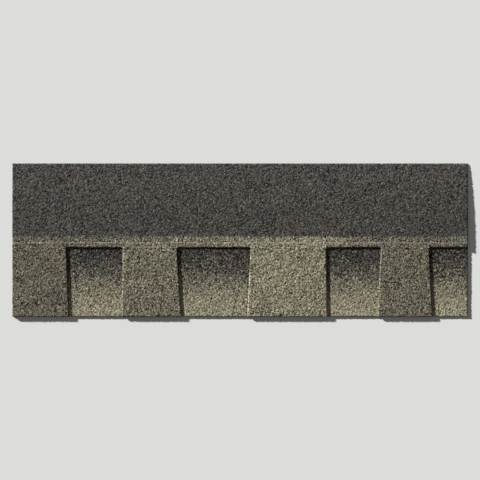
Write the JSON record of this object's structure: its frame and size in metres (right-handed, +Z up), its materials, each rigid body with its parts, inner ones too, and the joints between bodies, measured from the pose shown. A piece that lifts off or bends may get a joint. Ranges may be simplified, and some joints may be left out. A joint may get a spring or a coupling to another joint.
{
  "type": "laminated asphalt shingle",
  "caption": "Flat two-ply roofing shingle with flared teeth and shaded cut-outs along its butt edge, a plain headlap for nailing and self-seal dashes underneath.",
  "frame": {"origin": "middle of the footprint, on the floor that the shingle lies on", "axes": "+X along the sheet, +Y from the butt edge towards the headlap, +Z up out of the weather face"},
  "size_m": [1, 0.337, 0.0054],
  "materials": {
    "granule_overlay": "matte",
    "granule_backer": "matte",
    "sealant": "satin",
    "film": "gloss"
  },
  "bodies": {
    "root": {"overlay": "granule_overlay", "backer_strip": "granule_backer", "sealant_strip": "sealant", "release_tape": "film"}
  },
  "joints": []
}
